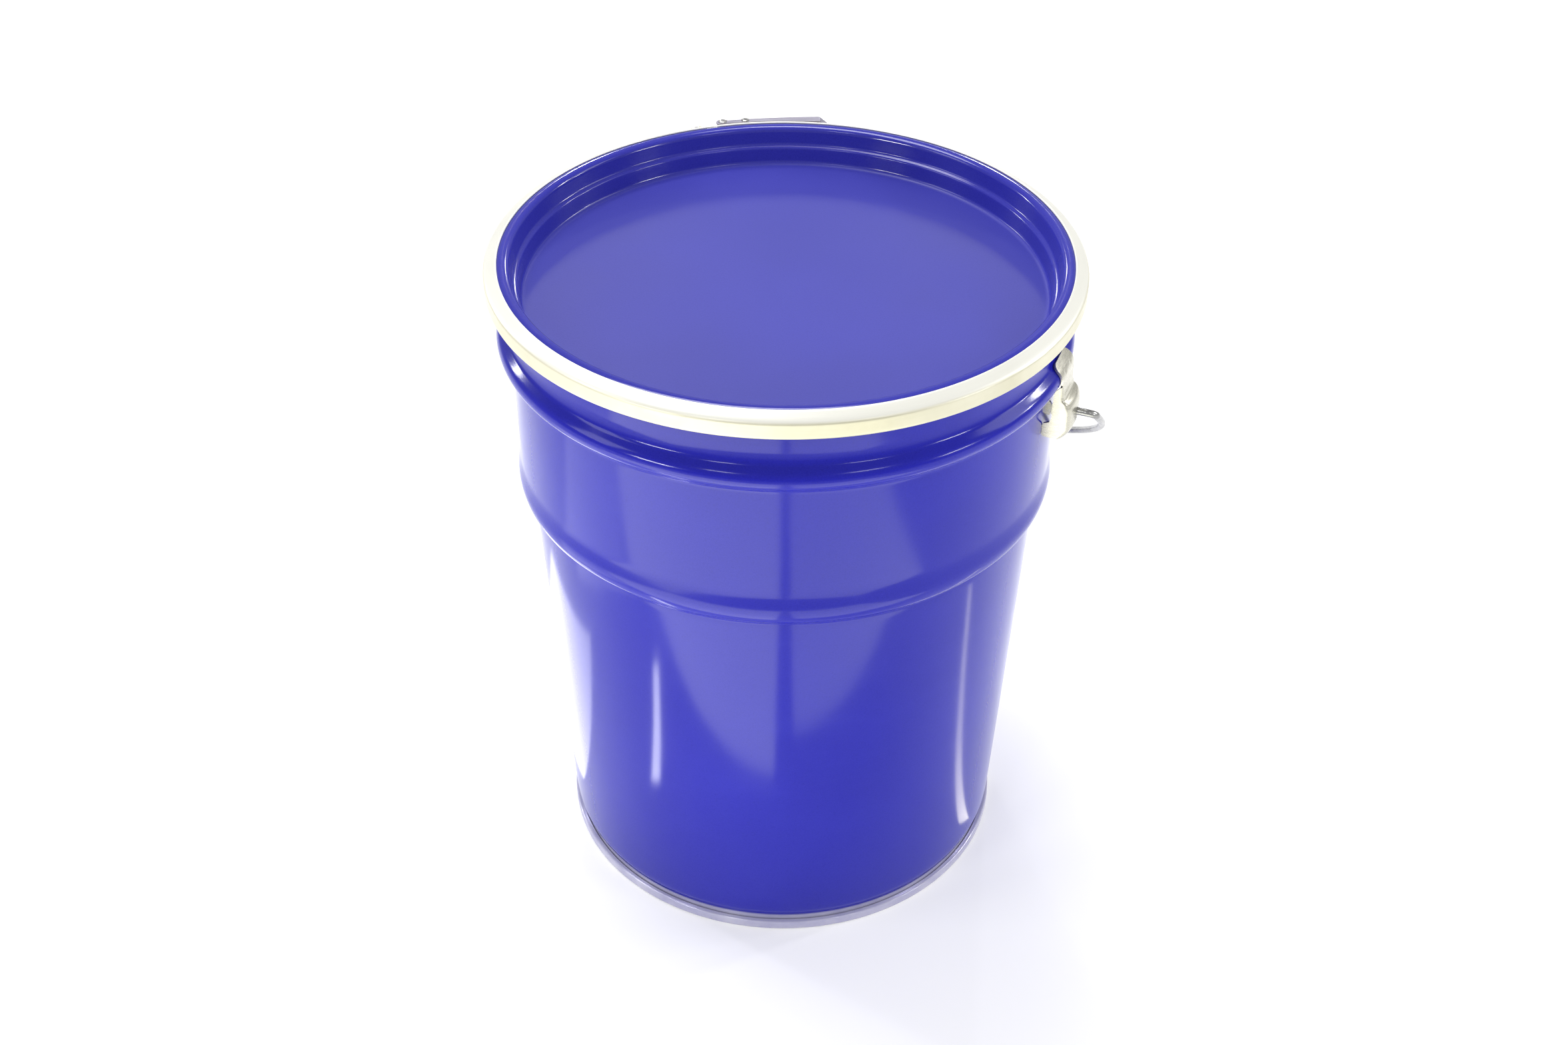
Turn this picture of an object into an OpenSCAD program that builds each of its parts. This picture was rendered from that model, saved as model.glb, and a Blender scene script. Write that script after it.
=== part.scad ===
// Open-head steel pail with a lever lock ring, pressed lid and wire bail.
// Origin: centre of the base, on the surface it stands on. +Z up, bail ears on the X axis.

/* [Body] */
// overall height, base to the top of the lock ring
can_h = 371; // [300:1:420]
// outer radius of the upper wall
wall_r = 143.6; // [120:0.1:160]
// outer radius of the lower wall just under the lower bead
lower_r = 137.8; // [110:0.1:150]
// outer radius of the wall at the base
base_r = 126.5; // [100:0.1:145]
// sheet thickness of wall, lid and bottom
sheet_t = 0.8; // [0.5:0.1:1.2]
// outer radius at the crest of the shoulder bead
bead1_r = 151.0; // [145:0.1:155]
// height of the crest of the shoulder bead
bead1_z = 332.5; // [300:0.5:345]
// outer radius at the crest of the lower bead
bead2_r = 145.2; // [143:0.1:150]
// height of the crest of the lower bead
bead2_z = 248.5; // [200:0.5:270]
// radius of the top curl's section
curl_r = 4.0; // [3:0.1:5]

/* [Lid] */
// height of the flat panel
panel_z = 350; // [335:0.5:362]
// radius where the flat panel ends
panel_r = 134.5; // [120:0.5:138]

/* [Lock ring] */
// outer radius of the lock ring
ring_r = 155; // [150:0.5:165]
// sheet thickness of the lock ring
ring_t = 1.0; // [0.8:0.1:1.5]
// direction of the middle of the lever, from +X
lever_az = 111.5; // [90:0.5:270]
// swing of the lever shown
lever_open = 0; // [0:1:150]

/* [Bail] */
// height of the bail pivots
bail_z = 309; // [290:1:320]
// wire diameter of the bail
bail_d = 4; // [3:0.5:6]
// radius of the bail's arc
bail_r = 168; // [160:1:190]
// straight leg between the pivot and the arc
bail_leg = 19; // [6:1:60]
// slope of the hanging bail below the horizontal
bail_hang = 39.5; // [20:0.5:60]
// diameter of the grip
grip_d = 16; // [10:1:30]

/* [Hidden] */
$fn = 96;
eps = 0.01;
t = sheet_t;

enamel = [0.18, 0.20, 0.66];
zinc = [0.80, 0.79, 0.73];
steel = [0.72, 0.73, 0.74];

// points on an arc, angles in degrees
function arc(cx, cy, r, a0, a1, n) = [for (i = [0:n]) let (a = a0 + (a1 - a0) * i / n) [cx + r * cos(a), cy + r * sin(a)]];
function unit(v) = v / norm(v);
// a polyline moved sideways by d, to its right-hand side
function side(p, d) = [for (i = [0:len(p) - 1])
    let (a = i == 0 ? unit(p[1] - p[0]) : unit(p[i] - p[i - 1]),
         b = i == len(p) - 1 ? unit(p[i] - p[i - 1]) : unit(p[i + 1] - p[i]),
         m = unit(a + b), k = d / max(0.5, m * a))
    p[i] + k * [m[1], -m[0]]];
function back(p) = [for (i = [len(p) - 1:-1:0]) p[i]];
// a sheet of thickness d whose right-hand face is the polyline moved by d
function sheet(p, d) = concat(p, back(side(p, d)));

// ---- pail ----
curl_cr = wall_r + curl_r;           // curl section centre, radius
curl_cz = can_h - 3.6 - 4;           // curl section centre, height
neck_r = wall_r + t;

module body_shell() {
    // outer face from the seam hook up to the neck
    outer = concat(
        [[124.0, 1.1], [124.0, 7.0], [124.4, 9.0], [base_r - 0.3, 13.0], [base_r, 16]],
        [[lower_r, bead2_z - 16]],
        arc(lower_r + 2.2, bead2_z - 13.5, 2.2, 180, 110, 3),
        [[bead2_r - 1.2, bead2_z - 6.6], [bead2_r - 0.3, bead2_z - 3.6], [bead2_r, bead2_z - 1], [bead2_r - 0.2, bead2_z + 1.6], [bead2_r - 0.9, bead2_z + 5.0], [wall_r + 0.15, bead2_z + 8.4], [wall_r, bead2_z + 10.5]],
        [[wall_r, bead1_z - 12.5], [wall_r + 0.3, bead1_z - 11.0], [wall_r + 1.2, bead1_z - 9.6]],
        arc(bead1_r - 6.6, bead1_z - 2.0, 6.6, -62, 48, 9),
        [[neck_r + 1.2, bead1_z + 5.6], [neck_r + 0.3, bead1_z + 8.2], [neck_r, bead1_z + 10.5], [neck_r, curl_cz]]);
    // the curl turns outward over the top
    top = arc(curl_cr, curl_cz, curl_r - t, 180, -128, 20);
    line = concat(outer, [for (i = [1:len(top) - 1]) top[i]]);
    color(enamel) rotate_extrude($fn = 180) polygon(concat(line, back(side(line, -t))));
    // hook at the foot, turned up inside the double seam
    color(enamel) rotate_extrude($fn = 180) polygon([[124.0 - 0.8, 1.1], [126.0, 1.1], [126.0, 4.2], [125.3, 4.2], [125.3, 1.8], [124.0 - 0.8, 1.8]]);
}

module bottom_plate() {
    color(enamel) rotate_extrude($fn = 180) polygon([
        [0, 5.0], [116.5, 5.0], [118.6, 4.4], [119.8, 2.6], [121.0, 0.6], [121.8, 0], [126.4, 0], [127.0, 0.3], [127.3, 1.0],
        [127.3, 4.6], [127.0, 5.4], [126.4, 5.7], [125.0, 5.7], [124.4, 5.4], [124.25, 5.0],
        [124.25, 2.3], [124.95, 2.3], [124.95, 4.8], [125.2, 5.0], [126.2, 5.0], [126.55, 4.6],
        [126.55, 1.1], [126.2, 0.75], [122.9, 0.75], [122.75, 1.2],
        [122.75, 6.4], [122.05, 6.4], [121.7, 1.9], [120.5, 3.2], [119.2, 5.0], [117.0, 5.8], [0, 5.8]]);
}

module bottom_seam_compound() {
    color([0.25, 0.25, 0.27]) rotate_extrude($fn = 180) polygon([[124.1, 1.85], [125.2, 1.85], [125.2, 2.25], [124.1, 2.25]]);
}

// ---- ears, one module, drawn on +X ----
ear_t = 1.5;
module ear() {
    ew = 4.3; // half width, degrees
    difference() {
        union() {
            // web: tab over the shoulder bead, strap and pocket
            rotate([0, 0, -ew + 0.15]) rotate_extrude(angle = 2 * ew - 0.3, $fn = 360) polygon(sheet(
                concat([[neck_r + 1.3, bead1_z + 5.9]], arc(bead1_r - 6.6, bead1_z - 2.0, 6.7, 48, -8, 4),
                [[bead1_r + 0.5, bead1_z - 6.0], [bead1_r + 0.8, bead1_z - 11.0], [bead1_r + 1.8, bead1_z - 13.4], [bead1_r + 4.9, bead1_z - 15.5], [bead1_r + 6.0, bail_z + 5.4],
                 [bead1_r + 6.0, bail_z - 5.5], [bead1_r + 5.0, bail_z - 8.2], [bead1_r + 2.4, bail_z - 11.2]]), -ear_t));
            // side flanges, turned towards the wall, with feet on it
            for (s = [-1, 1]) rotate([0, 0, s > 0 ? ew - 0.42 : -ew])
                rotate_extrude(angle = 0.42, $fn = 360) polygon([
                    [bead1_r - 0.4, bead1_z - 10.5], [bead1_r + 1.4, bead1_z - 11.3], [bead1_r + 2.4, bead1_z - 13.9], [bead1_r + 5.4, bead1_z - 16.0], [bead1_r + 6.6, bail_z + 5.2],
                    [bead1_r + 6.6, bail_z - 5.3], [bead1_r + 5.5, bail_z - 8.0], [bead1_r + 3.0, bail_z - 10.9], [bead1_r + 2.2, bail_z - 11.6],
                    [wall_r + 0.5, bail_z - 11.6], [wall_r + 0.03, bail_z - 11.0], [wall_r + 0.03, bail_z - 5.0], [wall_r + 0.5, bail_z - 4.4], [bead1_r - 3.8, bail_z - 3.0],
                    [bead1_r - 2.8, bail_z], [bead1_r - 2.2, bail_z + 7.0], [bead1_r - 1.4, bead1_z - 12.5]]);
        }
        translate([140, 0, bail_z]) rotate([0, 90, 0]) cylinder(r = bail_d / 2 + 0.08, h = 40, $fn = 64);
    }
}
module ear_right() { color(zinc) ear(); }
module ear_left() { color(zinc) mirror([1, 0, 0]) ear(); }

// ---- lid ----
crown_z = can_h - 0.6;
module lid() {
    skin = concat(
        [[0, panel_z], [panel_r, panel_z]],
        [[135.6, panel_z + 0.25], [136.5, panel_z + 0.9], [137.0, panel_z + 1.9]],
        [[137.9, crown_z - 12.2], [138.15, crown_z - 11.2], [138.8, crown_z - 10.6], [139.7, crown_z - 10.3], [140.3, crown_z - 9.6], [140.6, crown_z - 8.4]],
        [[141.5, crown_z - 2.6], [142.0, crown_z - 1.3], [142.9, crown_z - 0.5], [144.1, crown_z - 0.1], [145.6, crown_z],
         [147.0, crown_z - 0.25], [148.6, crown_z - 0.9], [150.4, crown_z - 1.75], [151.8, crown_z - 2.6], [152.6, crown_z - 3.5], [152.95, crown_z - 4.6], [152.95, crown_z - 8.2]]);
    color(enamel) rotate_extrude($fn = 180) polygon(concat(skin, back(side(skin, t))));
}

module lid_gasket() {
    color([0.16, 0.16, 0.17]) rotate_extrude($fn = 180) polygon([
        [144.6, curl_cz + 3.35], [145.9, curl_cz + 3.98], [147.6, curl_cz + 4.15], [149.3, curl_cz + 3.88], [150.3, curl_cz + 3.4],
        [150.5, curl_cz + 4.15], [148.4, curl_cz + 5.2], [146.6, curl_cz + 5.9], [144.9, curl_cz + 5.95], [143.7, curl_cz + 5.2]]);
}

// ---- lock ring ----
ring_gap = 2.6;                      // opening between the band's ends, degrees
gap_az = 15.2;                       // gap, degrees from the lever's middle, against +X of the lever frame
face_lo = can_h - 11.2;              // straight face of the band, low edge
face_hi = can_h - 4.4;               // and high edge
module ring_band() {
    r = ring_r;
    skin = concat(
        [[147.9, can_h - 0.15], [149.0, can_h - 0.35], [r - 2.0, can_h - 2.35], [r - 0.9, can_h - 3.05], [r - 0.25, can_h - 3.8]],
        [[r, face_hi], [r, face_lo], [r - 0.25, face_lo - 0.75], [r - 0.9, face_lo - 1.35], [149.6, face_lo - 3.0], [149.0, face_lo - 3.1]]);
    color(zinc) rotate([0, 0, lever_az + gap_az + ring_gap / 2])
        difference() {
            rotate_extrude(angle = 360 - ring_gap, $fn = 360) polygon(concat(skin, back(side(skin, ring_t))));
            // rivet holes
            rotate([0, 0, -(lever_az + gap_az + ring_gap / 2)]) rivet_cuts();
        }
}

// lever frame: local +Y points outward at lever_az, local +X runs along the lever towards its free end
module lever_frame() { rotate([0, 0, lever_az - 90]) children(); }

pin_a = [-33.0, 157.2];              // lever pivot
pin_p = [-20.0, 158.9];              // link pivot on the lever
pin_b = [-48.0, 151.9];              // hook pin
pin_r = 1.5;
eye_r = 3.0;
lz0 = can_h - 13.0;                  // lever webs, low and high faces
lz1 = can_h - 4.3;
lug_lo = lz0 + 1.15;                 // lugs just inside the webs
lug_hi = lz1 - 1.15;
rivet_z = (face_lo + face_hi) / 2;

// rivets through band and brackets: direction from the lever's middle, positive towards the free end
rivet_dirs = [-5.6, 0.2, -22.2, -24.9];
module rivet_at(a) { rotate([0, 0, lever_az - a]) translate([0, 0, rivet_z]) rotate([0, 90, 0]) children(); }
module rivet_cuts() { for (a = rivet_dirs) rivet_at(a) translate([0, 0, 150]) cylinder(r = 1.4, h = 12, $fn = 48); }

strap_t = 1.2;
module strap(a0, a1) {
    // sheet on the band's outer face between two directions
    rotate([0, 0, lever_az - a1]) rotate_extrude(angle = a1 - a0, $fn = 360)
        polygon([[ring_r, face_lo + 0.2], [ring_r + strap_t, face_lo + 0.2], [ring_r + strap_t, face_hi - 0.2], [ring_r, face_hi - 0.2]]);
}
// flat lug in the lever frame between the strap and an eye
module lug2d(p, w0, w1, er = eye_r) {
    intersection() {
        union() {
            translate(p) circle(r = er, $fn = 64);
            polygon([[w0, 138], [p[0] - er, p[1]], [p[0] + er, p[1]], [w1, 138]]);
        }
        difference() { circle(r = 175, $fn = 360); circle(r = ring_r + 0.3, $fn = 360); }
    }
}

module ring_bracket_lever() {
    color(steel) difference() {
        union() {
            strap(-12.9, 2.6);
            for (z = [lug_lo, lug_hi - 1.0]) lever_frame() translate([0, 0, z]) linear_extrude(1.0)
                lug2d(pin_a, pin_a[0] - 1.0, pin_a[0] + 8);
        }
        lever_frame() translate([pin_a[0], pin_a[1], 340]) cylinder(r = pin_r, h = 40, $fn = 48);
        rivet_cuts();
    }
}

module ring_bracket_hook() {
    color(steel) difference() {
        union() {
            strap(-26.2, -16.7);
            for (z = [lug_lo, lug_hi - 1.0]) lever_frame() translate([0, 0, z]) linear_extrude(1.0) difference() {
                union() {
                    lug2d(pin_b, pin_b[0] - 7.5, pin_b[0] + 3.2, 3.2);
                }
                // slot open outward and away from the lever
                translate(pin_b) circle(r = pin_r + 0.25, $fn = 64);
                for (a = [100, 106, 112, 130, 148])
                    translate(pin_b) rotate([0, 0, a]) translate([0, -(pin_r + 0.25)]) square([12, 2 * pin_r + 0.5]);
            }
        }
        rivet_cuts();
    }
}

module ring_rivets() {
    color(steel) for (a = rivet_dirs) rivet_at(a) rotate_extrude($fn = 48)
        polygon([[0, ring_r - ring_t + 0.05], [1.4, ring_r - ring_t + 0.05], [1.4, ring_r + strap_t], [2.3, ring_r + strap_t], [2.2, ring_r + strap_t + 0.4], [1.7, ring_r + strap_t + 0.8], [1.0, ring_r + strap_t + 1.0], [0, ring_r + strap_t + 1.05]]);
}

// lever: channel bent along its own arc, flatter than the ring, so that the free end stands off it
lever_c = [23.3, -168.7];            // centre of the lever's arc in the lever frame
lever_ro = 333.0;                    // outer face
lever_w = 7.0;                       // depth of the channel
lever_t = 1.0;
function lever_ang(x) = asin((x - lever_c[0]) / lever_ro); // direction of a point on the lever, from its +Y
module lever_sector(x0, x1, poly) {
    translate([lever_c[0], lever_c[1], 0]) rotate([0, 0, 90 - lever_ang(x1)])
        rotate_extrude(angle = lever_ang(x1) - lever_ang(x0), $fn = 360) polygon(poly);
}
module lever() {
    ro = lever_ro; w = lever_w; lt = lever_t;
    color(zinc) lever_frame() difference() {
        union() {
            // webs
            for (z = [lz0, lz1 - lt]) {
                lever_sector(pin_a[0], 29, [[ro - w, z], [ro, z], [ro, z + lt], [ro - w, z + lt]]);
                translate([pin_a[0], pin_a[1], z]) cylinder(r = 3.9, h = lt, $fn = 64);
            }
            // outer face, open at the hinge end so that the link can swing out
            lever_sector(-13.0, 29, [[ro - lt, lz0], [ro, lz0], [ro, lz1], [ro - lt, lz1]]);
        }
        // clear of the ring's straps and rivet heads
        translate([0, 0, lz0 - 1]) cylinder(r = ring_r + 2.7, h = lz1 - lz0 + 2, $fn = 360);
        // free end tapers from above
        translate([23, 100, lz1]) rotate([0, 40, 0]) cube([30, 100, 20]);
        for (p = [pin_a, pin_p]) translate([p[0], p[1], 340]) cylinder(r = pin_r + 0.06, h = 40, $fn = 48);
    }
}

module lever_pivot_rivets() {
    color(steel) lever_frame() translate([pin_a[0], pin_a[1], 0]) {
        translate([0, 0, lz0 - 0.7]) cylinder(r = 2.4, h = 0.7, $fn = 48);
        translate([0, 0, lz0 - 0.01]) cylinder(r = pin_r, h = lug_lo + 1.0 - lz0 + 0.01, $fn = 48);
        translate([0, 0, lz1]) cylinder(r = 2.4, h = 0.7, $fn = 48);
        translate([0, 0, lug_hi - 1.0]) cylinder(r = pin_r, h = lz1 - lug_hi + 1.01, $fn = 48);
    }
}

link_z0 = lug_lo + 1.15;
link_z1 = lug_hi - 1.15;
module link() {
    d = pin_p - pin_b; n = unit([-d[1], d[0]]);
    color(steel) lever_frame() difference() {
        translate([0, 0, link_z0]) linear_extrude(link_z1 - link_z0) {
            translate(pin_p) circle(r = eye_r, $fn = 64);
            translate(pin_b) circle(r = eye_r - 0.1, $fn = 64);
            polygon([pin_p + n * 1.5, pin_b + n * 1.5, pin_b - n * 1.5, pin_p - n * 1.5]);
        }
        for (p = [pin_p, pin_b]) translate([p[0], p[1], 340]) cylinder(r = pin_r + (p == pin_p ? 0.06 : 0), h = 40, $fn = 48);
    }
}
module link_pivot_pin() {
    color(steel) lever_frame() translate([pin_p[0], pin_p[1], 0]) {
        translate([0, 0, lz0 - 0.7]) cylinder(r = 2.3, h = 0.7, $fn = 48);
        translate([0, 0, lz0 - 0.01]) cylinder(r = pin_r, h = lz1 - lz0 + 0.02, $fn = 48);
        translate([0, 0, lz1]) cylinder(r = 2.3, h = 0.7, $fn = 48);
    }
}
module link_hook_pin() {
    color(steel) lever_frame() translate([pin_b[0], pin_b[1], lug_lo]) cylinder(r = pin_r, h = lug_hi - lug_lo, $fn = 48);
}

// ---- bail ----
bend = 5;
module bail_frame() { translate([0, 0, bail_z]) rotate([-bail_hang, 0, 0]) children(); }
module bail_wire() {
    r = bail_d / 2;
    color(steel) bail_frame() {
        // arc over the back
        translate([0, bail_leg, 0]) rotate_extrude(angle = 180, $fn = 360) translate([bail_r, 0]) circle(r = r, $fn = 32);
        for (s = [-1, 1]) mirror([s < 0 ? 1 : 0, 0, 0]) {
            // leg
            translate([bail_r, bend, 0]) rotate([-90, 0, 0]) cylinder(r = r, h = bail_leg - bend + eps, $fn = 32);
            // bend
            translate([bail_r - bend, bend, 0]) rotate([0, 0, -90]) rotate_extrude(angle = 90, $fn = 96) translate([bend, 0]) circle(r = r, $fn = 32);
            // pivot and its head
            translate([153.0, 0, 0]) rotate([0, 90, 0]) cylinder(r = r, h = bail_r - bend - 153.0 + eps, $fn = 32);
            translate([151.2, 0, 0]) rotate([0, 90, 0]) cylinder(r = 3.2, h = 1.9, $fn = 32);
        }
    }
}
grip_half = 19; // degrees
module bail_grip() {
    color([0.12, 0.12, 0.13]) bail_frame() translate([0, bail_leg, 0]) rotate([0, 0, 90 - grip_half]) difference() {
        rotate_extrude(angle = 2 * grip_half, $fn = 360) translate([bail_r, 0]) circle(r = grip_d / 2, $fn = 48);
        rotate([0, 0, -1]) rotate_extrude(angle = 2 * grip_half + 2, $fn = 360) translate([bail_r, 0]) circle(r = bail_d / 2, $fn = 32);
    }
}

body_shell();
bottom_plate();
bottom_seam_compound();
ear_left();
ear_right();
lid();
lid_gasket();
ring_band();
ring_bracket_lever();
ring_bracket_hook();
ring_rivets();
lever();
lever_pivot_rivets();
link();
link_pivot_pin();
link_hook_pin();
bail_wire();
bail_grip();
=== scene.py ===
import math

import bmesh
import bpy
import numpy as np
from mathutils import Matrix, Vector


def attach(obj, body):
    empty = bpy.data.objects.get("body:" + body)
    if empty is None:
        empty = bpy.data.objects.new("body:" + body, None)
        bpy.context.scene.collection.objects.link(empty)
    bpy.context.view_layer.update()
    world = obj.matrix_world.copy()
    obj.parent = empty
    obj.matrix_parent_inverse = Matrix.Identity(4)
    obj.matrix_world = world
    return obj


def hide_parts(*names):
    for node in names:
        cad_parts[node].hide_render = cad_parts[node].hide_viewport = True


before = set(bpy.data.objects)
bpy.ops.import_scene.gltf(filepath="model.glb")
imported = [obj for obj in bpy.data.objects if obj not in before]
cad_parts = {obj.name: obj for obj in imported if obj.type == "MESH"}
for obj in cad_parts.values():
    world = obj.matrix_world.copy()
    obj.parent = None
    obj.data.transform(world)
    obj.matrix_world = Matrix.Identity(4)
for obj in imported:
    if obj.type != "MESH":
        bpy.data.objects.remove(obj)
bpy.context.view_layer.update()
MM = 0.001
rad = math.radians

# ------------------------------------------------------------------ profiles

def arc(cx, cy, r, a0, a1, n):
    return [(cx + r * math.cos(rad(a0 + (a1 - a0) * i / n)), cy + r * math.sin(rad(a0 + (a1 - a0) * i / n))) for i in range(n + 1)]


def side(p, d):
    """The polyline moved sideways by d to its right-hand side."""
    v = [np.array(q, float) for q in p]
    out = []
    for i in range(len(v)):
        a = v[i] - v[i - 1] if i else v[1] - v[0]
        b = v[i + 1] - v[i] if i < len(v) - 1 else v[i] - v[i - 1]
        a, b = a / np.linalg.norm(a), b / np.linalg.norm(b)
        m = (a + b) / np.linalg.norm(a + b)
        k = d / max(0.5, float(m @ a))
        out.append((float(v[i][0] + k * m[1]), float(v[i][1] - k * m[0])))
    return out


def soften(p, closed=True, cap=3.0, step=5.0, support=0.9):
    """Rounds each corner with a short curve tangent to both sides, and adds support points on long straights."""
    v = [np.array(q, float) for q in p]
    n = len(v)
    out = []
    for i in range(n):
        if not closed and i in (0, n - 1):
            out.append(v[i])
            continue
        a, b, c = v[i - 1], v[i], v[(i + 1) % n]
        la, lc = np.linalg.norm(a - b), np.linalg.norm(c - b)
        da, dc = (a - b) / la, (c - b) / lc
        turn = math.degrees(math.acos(max(-1.0, min(1.0, float(-(da @ dc))))))
        if turn < 0.3:
            out.append(b)
            continue
        ta, tc = min(cap, 0.49 * la), min(cap, 0.49 * lc)
        ta = tc = min(ta, tc)
        k = max(2, math.ceil(turn / step))
        s, e = b + da * ta, b + dc * tc
        for j in range(k + 1):
            t = j / k
            out.append((1 - t) ** 2 * s + 2 * t * (1 - t) * b + t * t * e)
    res = []
    m = len(out)
    for i in range(m):
        res.append(out[i])
        if not closed and i == m - 1:
            break
        a, b = out[i], out[(i + 1) % m]
        length = float(np.linalg.norm(b - a))
        if length > 5:
            d = (b - a) / length
            res.append(a + d * support)
            k = int(length // 30)
            for j in range(1, k + 1):
                res.append(a + d * (length * j / (k + 1)))
            res.append(b - d * support)
    return [(float(q[0]), float(q[1])) for q in res]


# ------------------------------------------------------------------ mesh makers

def mesh_object(name, bm, material, smooth=True):
    bmesh.ops.recalc_face_normals(bm, faces=bm.faces)
    me = bpy.data.meshes.new(name)
    bm.to_mesh(me)
    bm.free()
    ob = bpy.data.objects.new(name, me)
    bpy.context.collection.objects.link(ob)
    me.materials.append(material)
    for p in me.polygons:
        p.use_smooth = smooth
    return ob


def lathe_into(bm, prof, segs, closed=True, a0=0.0, a1=360.0, move=None, scale=MM):
    full = abs(a1 - a0 - 360) < 1e-6
    cols = segs if full else segs + 1
    rows = []
    for r, z in prof:
        if abs(r) < 1e-6:
            co = Vector((0, 0, z * scale))
            one = bm.verts.new(move @ co if move else co)
            rows.append([one] * cols)
        else:
            row = []
            for k in range(cols):
                a = rad(a0 + (a1 - a0) * k / segs)
                co = Vector((r * math.cos(a) * scale, r * math.sin(a) * scale, z * scale))
                row.append(bm.verts.new(move @ co if move else co))
            rows.append(row)
    n = len(prof)
    for i in range(n if closed else n - 1):
        a, b = rows[i], rows[(i + 1) % n]
        for k in range(segs):
            k2 = (k + 1) % cols if full else k + 1
            f = []
            for q in (a[k], b[k], b[k2], a[k2]):
                if q not in f:
                    f.append(q)
            if len(f) > 2:
                bm.faces.new(f)
    if not full and closed:
        caps = [bm.faces.new([row[0] for row in rows]), bm.faces.new([row[-1] for row in reversed(rows)])]
        bmesh.ops.triangulate(bm, faces=caps)
    return rows


def lathe(name, prof, material, segs=288, closed=True, a0=0.0, a1=360.0):
    bm = bmesh.new()
    lathe_into(bm, prof, segs, closed, a0, a1)
    return mesh_object(name, bm, material)


def prism_into(bm, outline, z0, z1, move=None):
    """A closed outline (mm) raised from z0 to z1, each end closed by one face."""
    m = move or Matrix.Identity(4)
    lo = [bm.verts.new(m @ Vector((x * MM, y * MM, z0 * MM))) for x, y in outline]
    hi = [bm.verts.new(m @ Vector((x * MM, y * MM, z1 * MM))) for x, y in outline]
    n = len(outline)
    for i in range(n):
        bm.faces.new([lo[i], lo[(i + 1) % n], hi[(i + 1) % n], hi[i]])
    bm.faces.new(list(reversed(lo)))
    bm.faces.new(hi)


def bevel_sharp(bm, width, angle=35, segments=2):
    bmesh.ops.recalc_face_normals(bm, faces=bm.faces)
    edges = [e for e in bm.edges if len(e.link_faces) == 2 and e.calc_face_angle(0) > rad(angle)]
    bmesh.ops.bevel(bm, geom=edges, offset=width * MM, offset_type="OFFSET", segments=segments, profile=0.6, affect="EDGES", clamp_overlap=True)


def apply_modifiers(ob):
    dg = bpy.context.evaluated_depsgraph_get()
    dg.update()
    me = bpy.data.meshes.new_from_object(ob.evaluated_get(dg))
    ob.modifiers.clear()
    old = ob.data
    ob.data = me
    bpy.data.meshes.remove(old)
    return ob


def tube_into(bm, pts, r, n=24, cap=True):
    """A round tube along points (metres) with parallel-transported rings."""
    pts = [Vector(p) for p in pts]
    tang = []
    for i in range(len(pts)):
        a = pts[max(0, i - 1)]
        b = pts[min(len(pts) - 1, i + 1)]
        tang.append((b - a).normalized())
    u = tang[0].orthogonal().normalized()
    rings = []
    for i, p in enumerate(pts):
        t = tang[i]
        u = (u - t * u.dot(t)).normalized()
        v = t.cross(u)
        rr = r(i) if callable(r) else r
        rings.append([bm.verts.new(p + (u * math.cos(2 * math.pi * k / n) + v * math.sin(2 * math.pi * k / n)) * rr) for k in range(n)])
    for a, b in zip(rings, rings[1:]):
        for k in range(n):
            bm.faces.new([a[k], a[(k + 1) % n], b[(k + 1) % n], b[k]])
    if cap:
        bm.faces.new(list(reversed(rings[0])))
        bm.faces.new(rings[-1])


# ------------------------------------------------------------------ materials

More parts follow.
